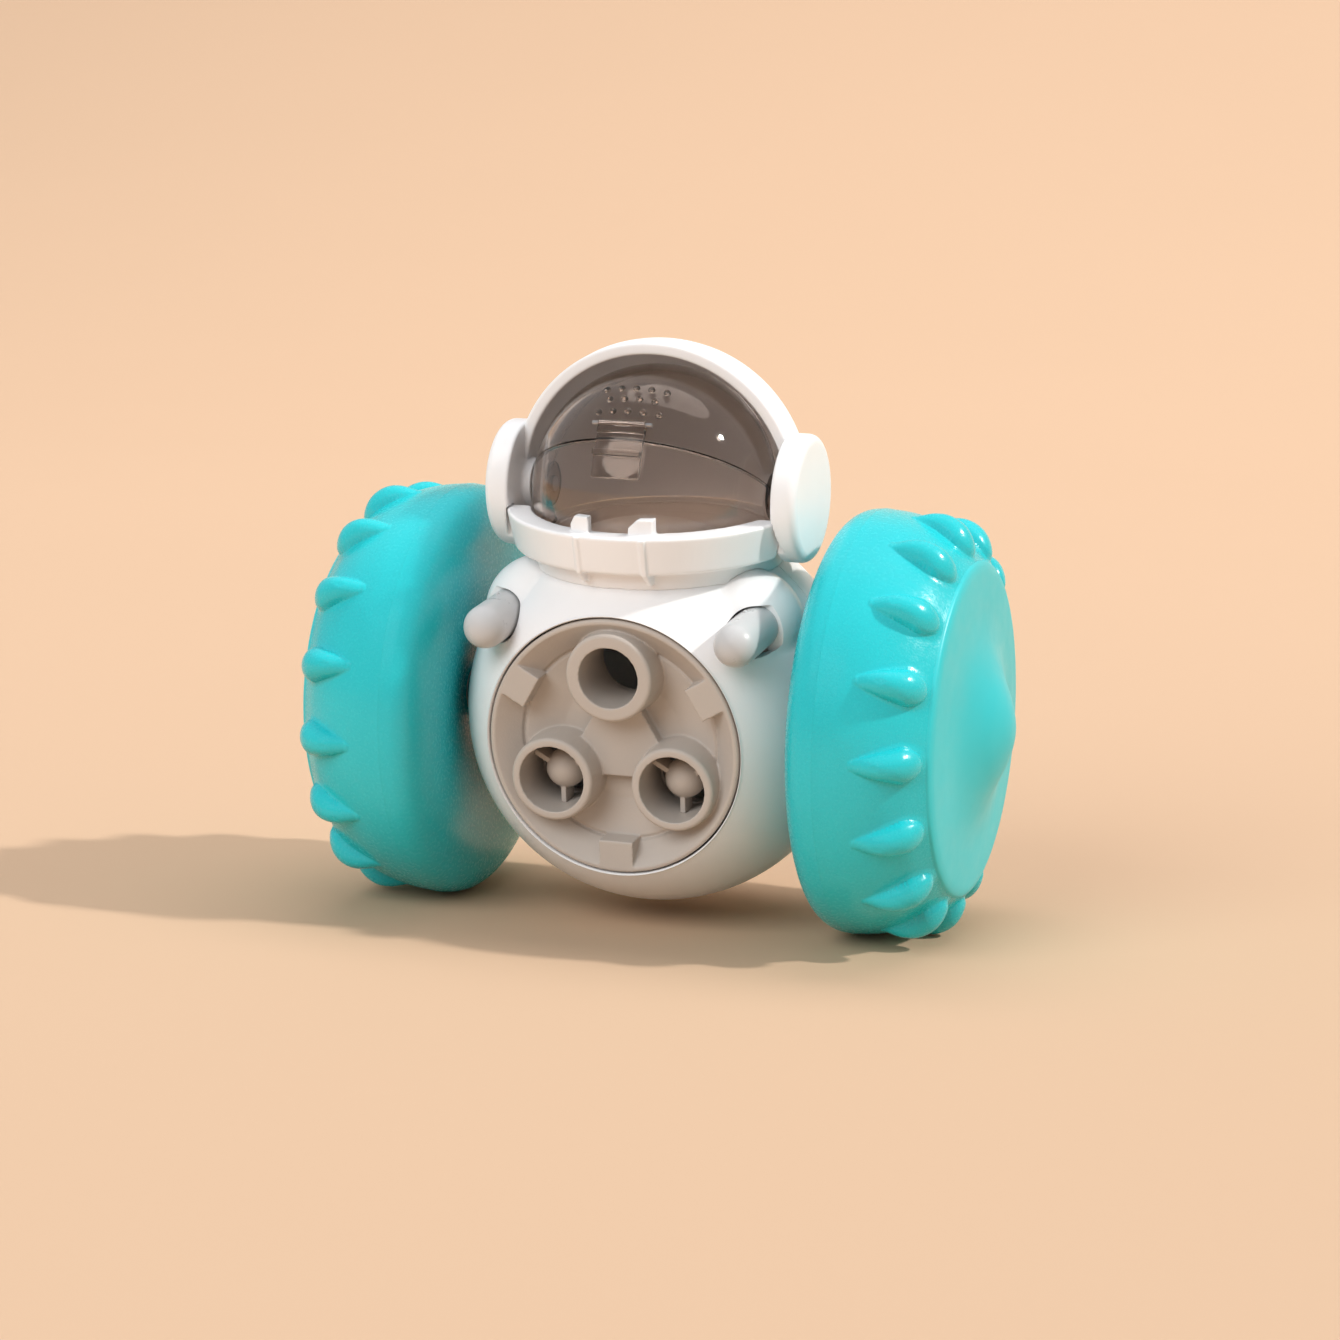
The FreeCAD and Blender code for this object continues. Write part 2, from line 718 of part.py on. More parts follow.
def tread_shell(side_name):
    """Outer half of the wheel with its ring of nubs."""
    band = turned(outline(
        CREASE_IN,
        CREASE,
        ((54.0, 38.7), FACE_EDGE),
        FACE_EDGE_IN,
        ((53.0, 36.8), CREASE_IN),
    ))
    seed = nub()
    nubs = []
    for i in range(NUB_COUNT):
        angle = NUB_PHASE[side_name] + 90 + i * 360.0 / NUB_COUNT
        nubs.append(spun(seed, angle, X_AXIS))
    return solid_of(fused([band] + nubs))


def inner_wheel_shell():
    """Inner half of the wheel, dished to clear the body, with the hub's inner boss."""
    return turned(outline(
        CREASE,
        ((39.4, 40.1), (36.9, 37.4)),
        ((35.9, 33.9), (35.5, 30.0)),
        ((36.9, 17.5), (39.9, 6.5)),
        (39.9, 5.0),
        (50.0, 5.0),
        (50.0, 7.5),
        (42.3, 7.5),
        ((38.9, 18.3), (37.6, 30.0)),
        (39.2, 36.4),
        ((40.6, 38.1), CREASE_IN),
    ))


def face_cap():
    """Outer face: a slightly domed ring that swells into a bell-shaped hub."""
    outer = Part.BSplineCurve()
    outer.interpolate(
        Points=[flat(p) for p in ((63.4, 29.5), (63.9, 22.0), (65.2, 15.5), (68.6, 8.0), (70.6, 0))],
        InitialTangent=Vector(0.0, 0, -1),
        FinalTangent=Vector(0, 0, -1),
    )
    inner = Part.BSplineCurve()
    inner.interpolate(
        Points=[flat(p) for p in ((68.5, 0), (66.8, 6.5), (63.4, 14.0), (61.9, 21.0), (61.3, 29.0))],
        InitialTangent=Vector(0, 0, 1),
        FinalTangent=Vector(0, 0, 1),
    )
    edges = [outer.toShape(), inner.toShape()]
    edges.append(Part.LineSegment(flat((70.6, 0)), flat((68.5, 0))).toShape())
    edges.append(Part.LineSegment(flat((61.3, 29.0)), flat(FACE_EDGE_IN)).toShape())
    edges.append(Part.LineSegment(flat(FACE_EDGE_IN), flat(FACE_EDGE)).toShape())
    edges.append(Part.Arc(flat(FACE_EDGE), flat((63.1, 31.1)), flat((63.4, 29.5))).toShape())
    cap = turned(edges)
    boss = tube(5.0, 7.5, Vector(50.2, 0, 0), Vector(65.5, 0, 0))
    return solid_of(fused([cap, boss]))


def hub_bush():
    """Plain bearing that turns on the axle."""
    return tube(AXLE_R + RUNNING_FIT, 5.0, Vector(39.9, 0, 0), Vector(AXLE_END - 0.3, 0, 0))


def axle():
    """Headed steel stub axle, tapped at its outer end."""
    head = rod(4.3, Vector(27.5, 0, 0), Vector(31.0, 0, 0))
    shaft = rod(AXLE_R, Vector(31.0, 0, 0), Vector(AXLE_END, 0, 0))
    bore = rod(1.25, Vector(52, 0, 0), Vector(FAR, 0, 0))
    return head.fuse(shaft).cut(bore)


def thrust_washer():
    return tube(AXLE_R, 5.2, Vector(38.4, 0, 0), Vector(39.6, 0, 0))


def end_washer():
    return tube(1.4, 4.6, Vector(AXLE_END, 0, 0), Vector(AXLE_END + 0.8, 0, 0))


def axle_screw():
    seat = AXLE_END + 0.8
    shank = rod(1.25, Vector(53, 0, 0), Vector(seat, 0, 0))
    head = rod(3.0, Vector(seat, 0, 0), Vector(seat + 2, 0, 0))
    return head.fuse(shank).cut(cross_slot(Vector(seat + 2, 0, 0), X_AXIS, 2.0))


def pair(shape):
    return Part.makeCompound([shape, mirrored(shape)])


# ---- assembly ----------------------------------------------------------------
def leaned_parts():
    """Pieces that lean with the body."""
    front, rear = body_shells()
    return {
        "body_front_shell": front,
        "body_rear_shell": rear,
        "shell_screws": shell_screws(),
        "arm_left": arm(-1),
        "arm_right": arm(1),
        "ballast_weight": ballast_weight(),
        "ballast_cover": ballast_cover(),
        "ballast_screws": ballast_screws(),
        "dispenser_disc": dispenser_disc(),
        "flow_core_left": flow_core(1),
        "flow_core_right": flow_core(2),
        "disc_washer": disc_washer(),
        "disc_screw": disc_screw(),
        "port_plate": port_plate(),
        "port_plate_screws": port_plate_screws(),
        "neck_collar": neck_collar(),
        "helmet_shell": helmet_shell(),
        "ear_cap_left": ear_cap(-1),
        "ear_cap_right": ear_cap(1),
        "visor_pivots": visor_pivots(),
        "visor_flap": visor_flap(),
        "visor_window": visor_window(),
        "visor_latch": visor_latch(),
        "latch_pin": latch_pin(),
        "treat_funnel": treat_funnel(),
    }


def axle_parts():
    """Pieces centred on the wheel axis, which stay level."""
    parts = {
        "axle_left": mirrored(axle()),
        "axle_right": axle(),
        "thrust_washers": pair(thrust_washer()),
        "end_washers": pair(end_washer()),
        "axle_screws": pair(axle_screw()),
    }
    for name in ("left", "right"):
        place = mirrored if name == "left" else Part.Shape.copy
        parts["tread_shell_" + name] = place(tread_shell(name))
        parts["inner_wheel_shell_" + name] = place(inner_wheel_shell())
        parts["face_cap_" + name] = place(face_cap())
        parts["hub_bush_" + name] = place(hub_bush())
    return parts


def export(name, shape):
    shape.exportStep("parts/" + name + ".step")
    box = shape.BoundBox
    sound = all(solid.isValid() for solid in shape.Solids)
    print("%-26s solids %d valid %s volume %9.1f  y %6.1f %6.1f  z %6.1f %6.1f" % (
        name, len(shape.Solids), sound, shape.Volume, box.YMin, box.YMax, box.ZMin, box.ZMax))


def main():
    os.makedirs("parts", exist_ok=True)
    for name, shape in leaned_parts().items():
        export(name, leaned(shape))
    for name, shape in axle_parts().items():
        export(name, lifted(shape))


main()
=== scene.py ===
import json
import math

import bmesh
import bpy
import numpy as np
from mathutils import Matrix, Vector


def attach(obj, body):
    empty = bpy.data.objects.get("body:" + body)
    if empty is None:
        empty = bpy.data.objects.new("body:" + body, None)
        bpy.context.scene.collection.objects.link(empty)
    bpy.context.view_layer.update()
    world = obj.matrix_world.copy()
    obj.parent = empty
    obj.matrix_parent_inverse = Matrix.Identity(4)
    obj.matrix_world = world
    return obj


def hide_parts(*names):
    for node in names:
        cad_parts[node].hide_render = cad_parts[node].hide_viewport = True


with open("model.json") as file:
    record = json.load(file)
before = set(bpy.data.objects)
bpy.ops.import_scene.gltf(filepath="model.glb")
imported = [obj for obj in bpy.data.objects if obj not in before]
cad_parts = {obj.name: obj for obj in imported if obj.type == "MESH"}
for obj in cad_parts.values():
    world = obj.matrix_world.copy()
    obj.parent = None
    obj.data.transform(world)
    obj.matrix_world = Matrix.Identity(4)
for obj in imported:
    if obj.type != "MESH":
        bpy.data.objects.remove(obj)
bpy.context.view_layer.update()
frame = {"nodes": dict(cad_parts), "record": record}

# A two-wheeled tumbling treat dispenser.  Shapes are written in millimetres round the
# axle centre and scaled to metres; the body pieces are then leaned forward and lifted.
MM = 0.001
AXLE_HEIGHT = 41.0
BODY_LEAN = math.radians(8.9)
BODY_R = 38.3
WALL = 2.2
MOUTH_R = 25.35
HEAD_HEIGHT = 43.3
HEAD_R = 29.2
HELMET_R_IN = 26.8
HELMET_FRONT = 2.1
HEAD_BOTTOM = 35.7
EAR_INNER_X = 26.5
VISOR_R = 24.3
VISOR_WALL = 1.5
VISOR_SEAM = 36.0
VISOR_TOP = 105.0
VISOR_GAP = 0.4
VISOR_ROWS = 60
VISOR_COLUMNS = 121
GRIP_ROWS = ((65.0, 5), (57.8, 4), (50.5, 5))
GRIP_PITCH = 3.0
GRIP_R = 0.66
HELMET_BANDS = (3.2, 6.6, 10.0)
BAND_DEPTH = 0.34
BAND_REACH = 0.42
TAB_R = 4.6
FLAP_END_R = 3.6
PIVOT_R = 1.5
ARM_X = 25.0
ARM_Z = 22.0
ARM_R = 4.15
ARM_TIP = 28.9
ARM_ROOT = 12.0
ARM_SOCKET_GAP = 0.45
PIP_R = 0.45
SHOULDER = Vector((21.0, -10.0, 20.5))
SHOULDER_R = 10.9
SHOULDER_BLEND = 1.3
WHEEL_R = 41.0
CREASE = (43.0, WHEEL_R)
CREASE_INSIDE = (43.0, 38.8)
FACE_EDGE = (62.2, 32.3)
HUB_R_IN = 5.0
HUB_R_OUT = 7.5
NUB_COUNT = 16
NUB_PHASE = {"left": -9.8, "right": -3.0}
NUB_TAIL = 50.3
NUB_HEAD = 58.2
NUB_R = 3.35
NUB_RISE = 3.9
FILLET_STEPS = 6
FAR = 60.0

# Camera angles in degrees; its distance and target in metres; its lens and sensor in mm.
CAMERA_TURN = 19.3
CAMERA_RISE = 8.2
CAMERA_ROLL = 1.6
CAMERA_DISTANCE = 0.6859
CAMERA_TARGET = Vector((0.0011, 0, 0.04784))
CAMERA_LENS = 94.03
CAMERA_SENSOR = 36.0

# Sun strength and width in degrees, and the direction that it shines from.
SUN_STRENGTH = 2.35
SUN_WIDTH = 3.2
SUN_FROM = (0.73, 0.13, 0.66)
ROOM_LIGHT = 0.50

AXLE = Matrix.Translation((0, 0, AXLE_HEIGHT * MM))
LEVEL = AXLE @ Matrix.Scale(MM, 4)
LEANED = AXLE @ Matrix.Rotation(BODY_LEAN, 4, "X") @ Matrix.Scale(MM, 4)
HEAD = LEANED @ Matrix.Translation((0, 0, HEAD_HEIGHT))
AXIS_TURN = {
    "x": Matrix.Identity(4),
    "-x": Matrix.Rotation(math.pi, 4, "Z"),
    "front": Matrix.Rotation(-math.pi / 2, 4, "Z"),
    "back": Matrix.Rotation(math.pi / 2, 4, "Z"),
    "up": Matrix.Rotation(-math.pi / 2, 4, "Y"),
}


# ---- mesh helpers ------------------------------------------------------------
def new_object(name, mesh):
    obj = bpy.data.objects.new(name, mesh)
    bpy.context.scene.collection.objects.link(obj)
    return obj


def tidy_mesh(mesh, sharp=35.0):
    """Weld, face outwards, and shade smooth with sharp edges kept."""
    merge = 1e-7
    bm = bmesh.new()
    bm.from_mesh(mesh)
    bmesh.ops.remove_doubles(bm, verts=bm.verts, dist=merge)
    bmesh.ops.dissolve_degenerate(bm, edges=bm.edges, dist=merge)
    bmesh.ops.recalc_face_normals(bm, faces=bm.faces)
    bm.to_mesh(mesh)
    bm.free()
    mesh.polygons.foreach_set("use_smooth", [True] * len(mesh.polygons))
    mesh.set_sharp_from_angle(angle=math.radians(sharp))
    mesh.update()


def grid_object(name, points, matrix, wrap_columns=True, sharp=35.0):
    """Quads over an array of points, rows by columns; the last row joins the first."""
    rows, columns = points.shape[:2]
    flat = points.reshape(-1, 3)
    faces = []
    for i in range(rows):
        j = (i + 1) % rows
        for k in range(columns if wrap_columns else columns - 1):
            m = (k + 1) % columns
            faces.append((i * columns + k, i * columns + m, j * columns + m, j * columns + k))
    mesh = bpy.data.meshes.new(name)
    mesh.from_pydata(flat.tolist(), [], faces)
    mesh.transform(matrix)
    tidy_mesh(mesh, sharp=sharp)
    return new_object(name, mesh)


def rounded(corners, steps=FILLET_STEPS):
    """Closed outline with each corner (along, radius, fillet) rounded off."""
    outline = []
    count = len(corners)
    for i, corner in enumerate(corners):
        here = np.array(corner[:2], float)
        fillet = corner[2] if len(corner) > 2 else 0.0
        back = np.array(corners[i - 1][:2], float) - here
        ahead = np.array(corners[(i + 1) % count][:2], float) - here
        back_length = np.linalg.norm(back)
        ahead_length = np.linalg.norm(ahead)
        if fillet <= 0 or back_length < 1e-9 or ahead_length < 1e-9:
            outline.append(here)
            continue
        back /= back_length
        ahead /= ahead_length
        half = math.acos(max(-1.0, min(1.0, float(back @ ahead)))) / 2
        if half > math.pi / 2 - 0.02:
            outline.append(here)
            continue
        reach = min(fillet / math.tan(half), back_length * 0.48, ahead_length * 0.48)
        start = here + back * reach
        end = here + ahead * reach
        for s in range(steps + 1):
            t = s / steps
            outline.append((1 - t) ** 2 * start + 2 * t * (1 - t) * here + t ** 2 * end)
    return outline


def arc_points(centre, radius, start, end, count):
    """Points on an arc in the profile plane, angles in degrees."""
    points = []
    for i in range(count + 1):
        angle = math.radians(start + (end - start) * i / count)
        points.append((centre[0] + radius * math.cos(angle), centre[1] + radius * math.sin(angle)))
    return points


def curve_through(points, count):
    """Smooth open curve through a few profile points."""
    p = [np.array(q, float) for q in points]
    p = [2 * p[0] - p[1]] + p + [2 * p[-1] - p[-2]]
    out = []
    for i in range(1, len(p) - 2):
        for s in range(count):
            t = s / count
            out.append(tuple(0.5 * (2 * p[i] + (p[i + 1] - p[i - 1]) * t
                             + (2 * p[i - 1] - 5 * p[i] + 4 * p[i + 1] - p[i + 2]) * t ** 2
                             + (3 * p[i] - p[i - 1] - 3 * p[i + 1] + p[i + 2]) * t ** 3)))
    out.append(tuple(p[-2]))
    return out


def lathe(name, outline, matrix, axis, segments, sharp=35.0):
    """Turn a closed outline of (along, radius) about an axis."""
    profile = np.array([q[:2] for q in outline], float)
    turn = np.linspace(0, 2 * math.pi, segments, endpoint=False)
    points = np.empty((segments, len(profile), 3))
    points[:, :, 0] = profile[None, :, 0]
    points[:, :, 1] = profile[None, :, 1] * np.sin(turn)[:, None]
    points[:, :, 2] = profile[None, :, 1] * np.cos(turn)[:, None]
    return grid_object(name, points, matrix @ AXIS_TURN[axis], sharp=sharp)


def apply_modifiers(obj):
    graph = bpy.context.evaluated_depsgraph_get()
    mesh = bpy.data.meshes.new_from_object(obj.evaluated_get(graph))
    obj.modifiers.clear()
    obj.data = mesh


def cut(obj, cutter):
    """Take a throwaway cutter out of an object."""
    modifier = obj.modifiers.new("cut", "BOOLEAN")
    modifier.object = cutter
    modifier.operation = "DIFFERENCE"
    modifier.solver = "EXACT"
    apply_modifiers(obj)
    bpy.data.objects.remove(cutter)
    tidy_mesh(obj.data)


def box_object(low, high, matrix):
    bm = bmesh.new()
    bmesh.ops.create_cube(bm, size=1.0)
    size = Vector(high) - Vector(low)
    middle = (Vector(high) + Vector(low)) / 2
    for v in bm.verts:
        v.co = Vector(v.co[i] * size[i] + middle[i] for i in range(3))
    mesh = bpy.data.meshes.new("cutter")
    bm.to_mesh(mesh)
    bm.free()
    mesh.transform(matrix)
    return new_object("cutter", mesh)


def rod_object(radius, start, end, matrix, stretch):
    """Rod between two points, its section drawn out along X by stretch."""
    segments = 48
    axis = Vector(end) - Vector(start)
    turn = axis.to_track_quat("Z", "Y").to_matrix()
    bm = bmesh.new()
    rings = []
    for z in (0.0, axis.length):
        ring = []
        for i in range(segments):
            angle = 2 * math.pi * i / segments
            point = Vector(start) + turn @ Vector((radius * math.cos(angle), radius * math.sin(angle), z))
            if (point.x - start[0]) * stretch > 0:
                point.x += stretch
            ring.append(bm.verts.new(point))
        rings.append(ring)
    bm.faces.new(rings[0][::-1])
    bm.faces.new(rings[1])
    for i in range(segments):
        j = (i + 1) % segments
        bm.faces.new((rings[0][i], rings[0][j], rings[1][j], rings[1][i]))
    bmesh.ops.recalc_face_normals(bm, faces=bm.faces)
    mesh = bpy.data.meshes.new("cutter")
    bm.to_mesh(mesh)
    bm.free()
    mesh.transform(matrix)
    return new_object("cutter", mesh)


def softened(node, name, voxel, passes):
    """Copy of a CAD node with every edge eased, as a moulding has."""
    obj = new_object(name, frame["nodes"][node].data.copy())
    remesh = obj.modifiers.new("remesh", "REMESH")
    remesh.mode = "VOXEL"
    remesh.voxel_size = voxel * MM
    smooth = obj.modifiers.new("smooth", "SMOOTH")
    smooth.factor = 0.5
    smooth.iterations = passes
    apply_modifiers(obj)
    obj.data.materials.clear()
    tidy_mesh(obj.data, sharp=60.0)
    return obj


def joined(name, objects):
    """Several meshes in one object."""
    bm = bmesh.new()
    for obj in objects:
        bm.from_mesh(obj.data)
        bpy.data.objects.remove(obj)
    mesh = bpy.data.meshes.new(name)
    bm.to_mesh(mesh)
    bm.free()
    mesh.polygons.foreach_set("use_smooth", [True] * len(mesh.polygons))
    mesh.set_sharp_from_angle(angle=math.radians(35))
    return new_object(name, mesh)


def settle(obj, body, slot, material, *nodes):
    """Give a finished piece its material and body, and hide the CAD nodes it stands for."""
    obj.data.materials.clear()
    obj.data.materials.append(material)
    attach(obj, body)
    if nodes:
        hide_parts(*nodes)


# ---- material helpers --------------------------------------------------------
class Nodes:
    """Small wrapper that keeps node-tree code short."""

    def __init__(self, name):
        self.material = bpy.data.materials.new(name)
        self.material.use_nodes = True
        self.tree = self.material.node_tree
        self.shader = self.tree.nodes["Principled BSDF"]
        self.place = self.add("ShaderNodeTexCoord").outputs["Object"]

    def add(self, kind, **values):
        node = self.tree.nodes.new(kind)
        for key, value in values.items():
            if hasattr(node, key):
                setattr(node, key, value)
            else:
                node.inputs[key.replace("_", " ")].default_value = value
        return node

    def link(self, source, target):
        self.tree.links.new(source, target)

    def noise(self, scale, detail=3.0, roughness=0.5):
        node = self.add("ShaderNodeTexNoise", Scale=scale, Detail=detail, Roughness=roughness)
        self.link(self.place, node.inputs["Vector"])
        return node.outputs["Fac"]

    def cells(self, scale):
        node = self.add("ShaderNodeTexVoronoi", Scale=scale)
        self.link(self.place, node.inputs["Vector"])
        return node.outputs["Distance"]

    def between(self, factor, low, high, start=0.0, end=1.0):
        node = self.add("ShaderNodeMapRange")
        node.inputs["From Min"].default_value = start
        node.inputs["From Max"].default_value = end
        node.inputs["To Min"].default_value = low
        node.inputs["To Max"].default_value = high
        self.link(factor, node.inputs["Value"])
        return node.outputs["Result"]

    def mixed(self, factor, dark, light):
        node = self.add("ShaderNodeMix", data_type="RGBA")
        node.inputs["A"].default_value = (*dark, 1)
        node.inputs["B"].default_value = (*light, 1)
        self.link(factor, node.inputs["Factor"])
        return node.outputs["Result"]

    def bump(self, height, distance, strength=1.0, after=None):
        node = self.add("ShaderNodeBump", Strength=strength, Distance=distance)
        self.link(height, node.inputs["Height"])
        if after is not None:
            self.link(after, node.inputs["Normal"])
        return node.outputs["Normal"]

    def set(self, **values):
        for key, value in values.items():
            self.shader.inputs[key.replace("_", " ")].default_value = value


def moulded(name, dark, light, rough, grain=900.0, grain_depth=0.00001, subsurface=0.0):
    """Moulded plastic: faint colour drift, patchy gloss, fine grain over a slow ripple."""
    n = Nodes(name)
    drift = n.noise(28.0, 4.0)
    n.link(n.mixed(n.between(drift, 0, 1, 0.3, 0.7), dark, light), n.shader.inputs["Base Color"])
    scuff = n.noise(160.0, 6.0, 0.65)
    n.link(n.between(scuff, rough - 0.05, rough + 0.07, 0.3, 0.7), n.shader.inputs["Roughness"])
    ripple = n.bump(n.noise(45.0, 2.0), 0.00002, 0.5)
    n.link(n.bump(n.noise(grain * 2.2, 2.0), grain_depth, 1.0, ripple), n.shader.inputs["Normal"])
    if subsurface > 0:
        n.set(Subsurface_Weight=subsurface, Subsurface_Scale=0.002, Subsurface_Radius=light)
    return n.material


def sparkling(name, dark, light, rough, cell, depth, subsurface):
    """Spark-eroded plastic: small flat facets that glint one by one."""
    n = Nodes(name)
    drift = n.noise(30.0, 3.0)
    n.link(n.mixed(n.between(drift, 0, 1, 0.3, 0.7), dark, light), n.shader.inputs["Base Color"])
    speckle = n.noise(cell * 0.6, 3.0, 0.6)
    n.link(n.between(speckle, rough - 0.08, rough + 0.08, 0.3, 0.7), n.shader.inputs["Roughness"])
    pits = n.bump(n.cells(cell), depth, 0.8)
    n.link(n.bump(n.noise(cell * 0.45, 3.0), depth * 1.6, 0.8, pits), n.shader.inputs["Normal"])
    n.set(Subsurface_Weight=subsurface, Subsurface_Scale=0.002, Subsurface_Radius=light)
    return n.material


def smoked(name, tint):
    """Clear plastic smoked brown, with patches of faint haze."""
    rough = 0.03
    n = Nodes(name)
    haze = n.noise(60.0, 5.0, 0.7)
    n.link(n.between(haze, rough, rough + 0.05, 0.45, 0.75), n.shader.inputs["Roughness"])
    n.set(Base_Color=(*tint, 1), Transmission_Weight=1.0, IOR=1.49)
    n.link(n.bump(n.noise(90.0, 2.0), 0.000008, 0.35), n.shader.inputs["Normal"])
    return n.material


def steel(name):
    n = Nodes(name)
    streak = n.noise(700.0, 4.0)
    n.link(n.mixed(streak, (0.42, 0.42, 0.44), (0.66, 0.66, 0.68)), n.shader.inputs["Base Color"])
    n.link(n.between(streak, 0.22, 0.42), n.shader.inputs["Roughness"])
    n.set(Metallic=1.0)
    n.link(n.bump(streak, 0.00001, 0.5), n.shader.inputs["Normal"])
    return n.material


WHITE = moulded("white_plastic", (0.82, 0.82, 0.83), (0.88, 0.88, 0.885), 0.33, subsurface=0.1)
INNER_WHITE = moulded("inner_white", (0.72, 0.68, 0.66), (0.78, 0.74, 0.72), 0.5)
GREY = moulded("grey_plastic", (0.47, 0.42, 0.375), (0.51, 0.46, 0.415), 0.36, grain_depth=0.00003)
ARM_GREY = moulded("arm_plastic", (0.50, 0.505, 0.51), (0.55, 0.555, 0.56), 0.3)
TEAL_TREAD = sparkling("teal_tread", (0.012, 0.49, 0.54), (0.020, 0.55, 0.60), 0.25, 2300.0, 0.00002, 0.1)
TEAL_FACE = moulded("teal_face", (0.022, 0.52, 0.565), (0.030, 0.57, 0.62), 0.38, 1200.0, 0.000012, 0.1)
# The flap, latch and inner smoked parts take a darker smoke than the window. That darker tint is painted
# shade of the dim upper inside of the head.
SHADED_SMOKE = smoked("smoked_visor_painted_shade", (0.64, 0.55, 0.49))
SMOKE_WINDOW = smoked("smoked_window", (0.84, 0.72, 0.64))
NYLON = moulded("nylon", (0.70, 0.68, 0.62), (0.76, 0.74, 0.68), 0.5)
STEEL = steel("steel")


# ---- wheels ------------------------------------------------------------------
def tread_line(count):
    """Outer line of the tread from the crease to the face edge."""
    return curve_through([CREASE, (48.5, 40.35), (54.0, 38.7), (58.5, 36.0), FACE_EDGE], count)


def nub_height(along, across):
    """Height of one teardrop nub, from its distance along and across its own axis."""
    t = np.clip((along - NUB_TAIL) / (NUB_HEAD - NUB_TAIL), 0.0, 1.0)
    half = NUB_R * np.sqrt(np.clip(0.08 + 0.92 * t ** 1.1, 0.0, 1.0))
    rise = NUB_RISE * (0.08 + 0.92 * np.sin(t * math.pi / 2) ** 1.15)
    beyond = np.clip(along - NUB_HEAD, 0.0, None)
    behind = np.clip(NUB_TAIL - along, 0.0, None)
    q = np.sqrt((across / half) ** 2 + (beyond / NUB_R) ** 2 + (behind / 0.7) ** 2)
    dome = np.sqrt(np.clip(1.0 - q ** 2, 0.0, 1.0))
    skirt = np.exp(-((q - 1.0) / 0.16) ** 2)
    return rise * np.maximum(dome, 0.0) + rise * 0.07 * skirt


def tread_shell(side):
    """Outer half of the wheel: a curved band with a ring of nubs and a thin inner wall."""
    outer = np.array(tread_line(26))
    step = np.gradient(outer, axis=0)
    step /= np.linalg.norm(step, axis=1)[:, None]
    normal = np.stack([-step[:, 1], step[:, 0]], axis=1)
    columns = 1152
    turn = np.linspace(0, 2 * math.pi, columns, endpoint=False)
    pitch = 2 * math.pi / NUB_COUNT
    phase = math.radians(NUB_PHASE[side])
    local = (turn - phase + pitch / 2) % pitch - pitch / 2
    across = outer[:, None, 1] * np.sin(local)[None, :]
    height = nub_height(np.broadcast_to(outer[:, None, 0], across.shape), across)
    along = outer[:, None, 0] + height * normal[:, None, 0] * 0.55
    radius = np.minimum(outer[:, None, 1] + height * normal[:, None, 1], WHEEL_R)
    inner = np.array(curve_through([(60.4, 30.9), (57.0, 34.2), (52.5, 37.0), CREASE_INSIDE], 6))
    rows_x = np.concatenate([along, np.repeat(inner[:, 0:1], columns, axis=1)])
    rows_r = np.concatenate([radius, np.repeat(inner[:, 1:2], columns, axis=1)])
    points = np.stack([rows_x, -rows_r * np.cos(turn)[None, :], rows_r * np.sin(turn)[None, :]], axis=2)
    if side == "left":
        points[:, :, 0] *= -1
    return grid_object("tread_" + side, points, LEVEL, sharp=50.0)


def inner_wheel_shell(side):
    """Inner half of the wheel, dished round the body."""
    skin = curve_through([CREASE, (40.3, 40.6), (38.2, 39.3), (36.8, 37.0), (35.9, 33.9), (35.5, 30.0),
                          (35.8, 24.5), (36.9, 17.5), (38.3, 11.5), (39.9, 6.5)], 8)
    wall = rounded([(39.9, HUB_R_IN), (50.0, HUB_R_IN), (50.0, HUB_R_OUT), (42.3, HUB_R_OUT)], 1)
    back = curve_through([(41.0, 11.5), (38.9, 18.3), (37.7, 30.0), (39.2, 36.4), CREASE_INSIDE], 5)
    outline = [(x, min(r, WHEEL_R)) for x, r in skin] + [tuple(p) for p in wall] + back
    axis = "x" if side == "right" else "-x"
    return lathe("wheel_inner_" + side, outline, LEVEL, axis, 256, sharp=50.0)


def face_cap(side):
    """Smooth outer face that swells into a bell-shaped hub."""
    outer = curve_through([FACE_EDGE, (62.75, 31.9), (63.15, 31.0), (63.4, 29.5), (63.7, 25.5),
                           (63.9, 22.0), (64.4, 18.5), (65.3, 15.2), (66.8, 11.5), (68.5, 8.0),
                           (69.8, 4.6), (70.45, 2.0), (70.6, 0.0)], 8)
    inner = curve_through([(68.5, 0.0), (66.8, 6.5), (63.4, 14.0), (61.9, 21.0), (61.3, 29.0),
                           (60.4, 30.8)], 5)
    axis = "x" if side == "right" else "-x"
    return lathe("wheel_face_" + side, outer + inner, LEVEL, axis, 256, sharp=50.0)


def make_wheels():
    for side in ("left", "right"):
        body = side + "_wheel"
        settle(tread_shell(side), body, "teal_plastic", TEAL_TREAD, "tread_shell_" + side)
        settle(inner_wheel_shell(side), body, "teal_plastic", TEAL_TREAD, "inner_wheel_shell_" + side)
        settle(face_cap(side), body, "teal_plastic", TEAL_FACE, "face_cap_" + side)


# ---- body --------------------------------------------------------------------
def casing_radius(directions, radius, bump_radius):
    """Distance from the axle to the casing: a ball that swells softly into the shoulders."""
    out = np.full(directions.shape[:2], radius)
    for side in (1, -1):
        centre = np.array([SHOULDER.x * side, SHOULDER.y, SHOULDER.z])
        along = directions @ centre
        gap = along ** 2 - centre @ centre + bump_radius ** 2
        reach = along + np.sqrt(np.clip(gap, 0, None))
        near = np.where((gap > 0) & (along > 0), reach, 0.0)
        mix = np.clip(0.5 + 0.5 * (near - out) / SHOULDER_BLEND, 0, 1)
        swell = SHOULDER_BLEND * mix * (1 - mix) * 0.5
        out = np.where(near > 0, out * (1 - mix) + near * mix + swell, out)
    return out


